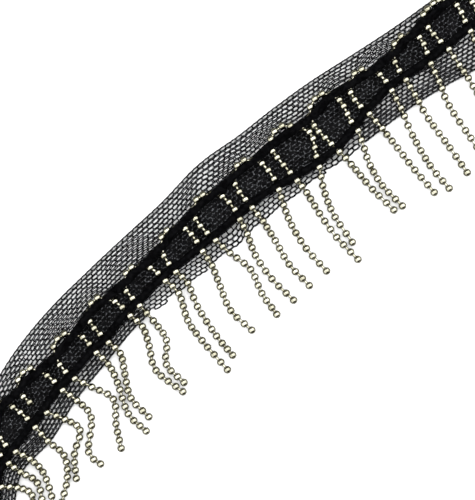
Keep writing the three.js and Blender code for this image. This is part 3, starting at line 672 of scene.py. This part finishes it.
def ball_chain(bm, places, numbers, before=None, after=None):
    """Adds one length of ball chain, whose balls of the given numbers stand at the given places.
    before and after are where its end bars go on to."""
    places = [Vector(p) for p in places]
    parts = np.interp(np.arange(numbers[-1] + 1), numbers, np.linspace(0, 1, len(numbers)))
    flat = [through(places, part) for part in parts]
    centres = [Vector((p.x, p.y, chain_height(p))) for p in flat]
    stops = ([before] if before else []) + centres + ([after] if after else [])
    for a, b in zip(stops, stops[1:]):
        add_shape(bm, bar, (a + b) / 2, b - a, (b - a).length)
    for i, centre in enumerate(centres):
        way = centres[min(i + 1, numbers[-1])] - centres[max(i - 1, 0)]
        add_shape(bm, hollow_ball, centre, way, 1)


metal = bpy.data.materials.new("polished_chain")
metal.use_nodes = True
tree = metal.node_tree
shader = tree.nodes["Principled BSDF"]
shader.inputs["Metallic"].default_value = 1.0
shader.inputs["Specular Tint"].default_value = (0.22, 0.21, 0.16, 1)
group = tree.nodes.new("ShaderNodeGroup")
group.node_tree = uneven
group.inputs["Dark"].default_value = (0.24, 0.23, 0.17, 1)
group.inputs["Light"].default_value = (0.46, 0.45, 0.37, 1)
group.inputs["Patch Scale"].default_value = 420
group.inputs["Fibre Scale"].default_value = 2500
spread = tree.nodes.new("ShaderNodeMapRange")
spread.inputs["To Min"].default_value = 0.08
spread.inputs["To Max"].default_value = 0.16
tree.links.new(group.outputs["Color"], shader.inputs["Base Color"])
tree.links.new(group.outputs["Height"], spread.inputs["Value"])
tree.links.new(spread.outputs["Result"], shader.inputs["Roughness"])

ALONG_LOOP = ("foot_a", "knee_a", "crown_a", "crown_b", "knee_b", "foot_b")
for number, loop in enumerate(LOOPS, 1):
    bm = bmesh.new()
    places = [loop[k] for k in ALONG_LOOP]
    ends = []
    for foot in ("foot_a", "foot_b"):
        start = Vector(loop[foot])
        root = min((Vector(strand["root"]) for strand in STRANDS), key=lambda r: (r - start).length)
        on = start + (root - start).normalized() * END_BAR
        ends.append(Vector((on.x, on.y, chain_height(on))))
    ball_chain(bm, places, loop["at"], *ends)
    piece = as_piece(bm, f"looped_chain_{number:02d}", metal)
    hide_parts(f"chain_loop_{number:02d}")

# The fringe: the ends of the same chains, hanging off the tape's lower edge and lying loose on the
# surface. Each starts under the lower strip, runs over the net's border and ends in its last ball.
fringe = bmesh.new()
for strand, (along, across) in zip(STRANDS, roots):
    under = on_tape(np.array([along]), np.array([across + BACK_ABOVE_ROOT]), np.array([0.0]))[0]
    start = Vector((under[0], under[1], chain_height(under)))
    places = [strand[k] for k in ("root", "high", "mid", "low", "tip")]
    ball_chain(fringe, places, strand["at"], before=start)
hanging_chains = as_piece(fringe, "fringe_chains", metal)
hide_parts("chain_fringe")

# The two hold strips: soft dull black braid, sewn over the chains. The upper one rides over each leg
# and hides a ball there, and the lower one is sewn along the line where the strands come out.
STRIP_HALF = 1.2
STRIP_AT_CHAIN = 0.85
STRIP_THICK = 0.9
STRIP_STEPS = 700
LIFTED_HALF = 1.7
LIFT_FALL = 1.2
OVER_BALL = 0.4
OVER = SOLID_BALL + OVER_BALL
BACK_HALF = 1.0
BACK_THICK = 1.9
BRAID_GAP = 0.1
BRAID_BELLY = 0.15
PLAIT_LONG = 1.5
PLAIT_BULGE = 0.06
COVERED_FROM = 0.12
COVERED_STEP = 0.02
COVERED_PLACES = 39

braid_black = yarn(
    "braid_black", dark=(0.0006, 0.0006, 0.0008), light=(0.003, 0.003, 0.0034),
    roughness=1.0, specular=0.02, patch=900, fibre=6000, relief=0.00012,
)
covered = []
for loop in LOOPS:
    line = [Vector(loop[k]) for k in ALONG_LOOP]
    covered += [through(line, COVERED_FROM + COVERED_STEP * i) for i in range(COVERED_PLACES)]
covered = np.array(covered)


def over_chains(places):
    """How far the upper braid is lifted at each place by the chains under it."""
    near = np.min(np.linalg.norm(places[:, None, :2] - covered[None, :, :], axis=2), axis=1)
    return OVER * smooth(1 - (near - LIFTED_HALF) / LIFT_FALL)


def braid(name, middle, half, thick, lifted):
    """A rounded strip along the tape, flat below, with the bulges of a soft plait."""
    bm = bmesh.new()
    turned = Matrix.Rotation(math.pi / 2, 4, "Y")
    bmesh.ops.create_cone(bm, cap_ends=True, segments=12, radius1=1, radius2=1, depth=1, matrix=turned)
    bmesh.ops.subdivide_edges(bm, edges=lengthways(bm), cuts=STRIP_STEPS)
    x, y, z = flat_places(bm).T
    along = (x + 0.5) * LENGTH
    plait = 1 + PLAIT_BULGE * np.sin(along * 2 * np.pi / PLAIT_LONG) + stray("braid_width", along, np.sign(y))
    base = on_tape(along, at(middle, along) + y * half, np.zeros(len(x)))
    line = on_tape(along, at(middle, along), np.zeros(len(x)))
    lift = over_chains(base) if lifted else 0
    narrow = 1 - (1 - STRIP_AT_CHAIN) * over_chains(line) / OVER if lifted else 1
    across = at(middle, along) + y * half * plait * narrow
    up = NET_THICK + LIFT + BRAID_GAP + lift + np.maximum(z, -BRAID_BELLY) * thick * plait
    set_places(bm, on_tape(along, across, up))
    piece = as_piece(bm, name, braid_black)
    return piece


upper_braid = braid("hold_braid_upper", "strip", STRIP_HALF, STRIP_THICK, True)
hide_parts("hold_strip_upper")
lower_braid = braid("hold_braid_lower", "back", BACK_HALF, BACK_THICK, False)
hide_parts("chain_fringe")

# The plain stage: a pale floor, a wide soft light from the upper left and a pale surround.
FLOOR_HALF = 3
FLOOR_DROP = 0.02 * MM
LENS = 200
SENSOR = 36
PICTURE_LONG = 500
PIXEL = 0.267 * MM
FOCUS_HIGH = 2 * MM

floor = bmesh.new()
bmesh.ops.create_grid(floor, x_segments=1, y_segments=1, size=FLOOR_HALF)
bmesh.ops.translate(floor, vec=(0, 0, -FLOOR_DROP), verts=floor.verts)
floor_mesh = bpy.data.meshes.new("floor")
floor.to_mesh(floor_mesh)
floor.free()
floor_piece = bpy.data.objects.new("floor", floor_mesh)
bpy.context.scene.collection.objects.link(floor_piece)
pale = bpy.data.materials.new("pale_floor")
pale.use_nodes = True
seen = pale.node_tree.nodes.new("ShaderNodeLightPath")
paper = pale.node_tree.nodes.new("ShaderNodeMix")
paper.data_type = "RGBA"
paper.inputs["A"].default_value = (0.32, 0.32, 0.3, 1)
paper.inputs["B"].default_value = (0.72, 0.72, 0.72, 1)
pale.node_tree.links.new(seen.outputs["Is Camera Ray"], paper.inputs["Factor"])
pale.node_tree.links.new(
    paper.outputs["Result"], pale.node_tree.nodes["Principled BSDF"].inputs["Base Color"]
)
pale.node_tree.nodes["Principled BSDF"].inputs["Roughness"].default_value = 1.0
pale.node_tree.nodes["Principled BSDF"].inputs["Specular IOR Level"].default_value = 0
floor_mesh.materials.append(pale)

world = bpy.data.worlds.new("surround")
bpy.context.scene.world = world
world.use_nodes = True
tree = world.node_tree
background = tree.nodes["Background"]
background.inputs["Strength"].default_value = 2.8
place = tree.nodes.new("ShaderNodeTexCoord")


def shade_range(value, low, high, before, after):
    """A smooth step of the surround's brightness as the value rises from low to high."""
    step = tree.nodes.new("ShaderNodeMapRange")
    step.interpolation_type = "SMOOTHSTEP"
    step.inputs["From Min"].default_value = low
    step.inputs["From Max"].default_value = high
    step.inputs["To Min"].default_value = before
    step.inputs["To Max"].default_value = after
    tree.links.new(value, step.inputs["Value"])
    return step.outputs["Result"]


def times(a, b):
    product = tree.nodes.new("ShaderNodeMath")
    product.operation = "MULTIPLY"
    tree.links.new(a, product.inputs[0])
    tree.links.new(b, product.inputs[1])
    return product.outputs[0]


def towards(x, y, z):
    """How far the surround's direction agrees with the given one."""
    dot = tree.nodes.new("ShaderNodeVectorMath")
    dot.operation = "DOT_PRODUCT"
    dot.inputs[1].default_value = (x, y, z)
    tree.links.new(place.outputs["Generated"], dot.inputs[0])
    return dot.outputs["Value"]


# Polished balls mirror this: a pale band from lower left to upper right, dim to its upper left and
# dark low down to its lower right and along the horizon.
horizon = shade_range(towards(0.1, 0.05, 1.0), low=-0.02, high=0.3, before=0.75, after=1.0)
dark_below = shade_range(towards(0.5, -0.866, 0), low=0.45, high=0.65, before=1.0, after=0.01)
dim_above = shade_range(towards(-0.5, 0.866, 0), low=0.45, high=0.7, before=1.0, after=0.04)
window = shade_range(towards(0.25, 0.35, 0.9), low=0.8, high=0.95, before=1.0, after=1.6)
tree.links.new(times(times(times(horizon, dark_below), dim_above), window), background.inputs["Color"])


def soft_light(name, place, size, power):
    light = bpy.data.lights.new(name, "AREA")
    light.shape = "RECTANGLE"
    light.size, light.size_y = size
    light.energy = power
    lamp = bpy.data.objects.new(name, light)
    lamp.location = place
    lamp.rotation_mode = "QUATERNION"
    lamp.rotation_quaternion = Vector(place).to_track_quat("Z", "Y")
    bpy.context.scene.collection.objects.link(lamp)


soft_light("key", place=(-0.3, 0.45, 0.8), size=(0.35, 0.25), power=1.5)

camera = bpy.data.cameras.new("camera")
camera.lens = LENS
camera.sensor_width = SENSOR
eye = bpy.data.objects.new("camera", camera)
eye_up = FOCUS_HIGH + PICTURE_LONG * PIXEL * LENS / SENSOR
eye.location = (-CENTRE.x * MM, -CENTRE.y * MM, eye_up)
bpy.context.scene.collection.objects.link(eye)
bpy.context.scene.camera = eye
bpy.context.scene.view_settings.view_transform = "Standard"
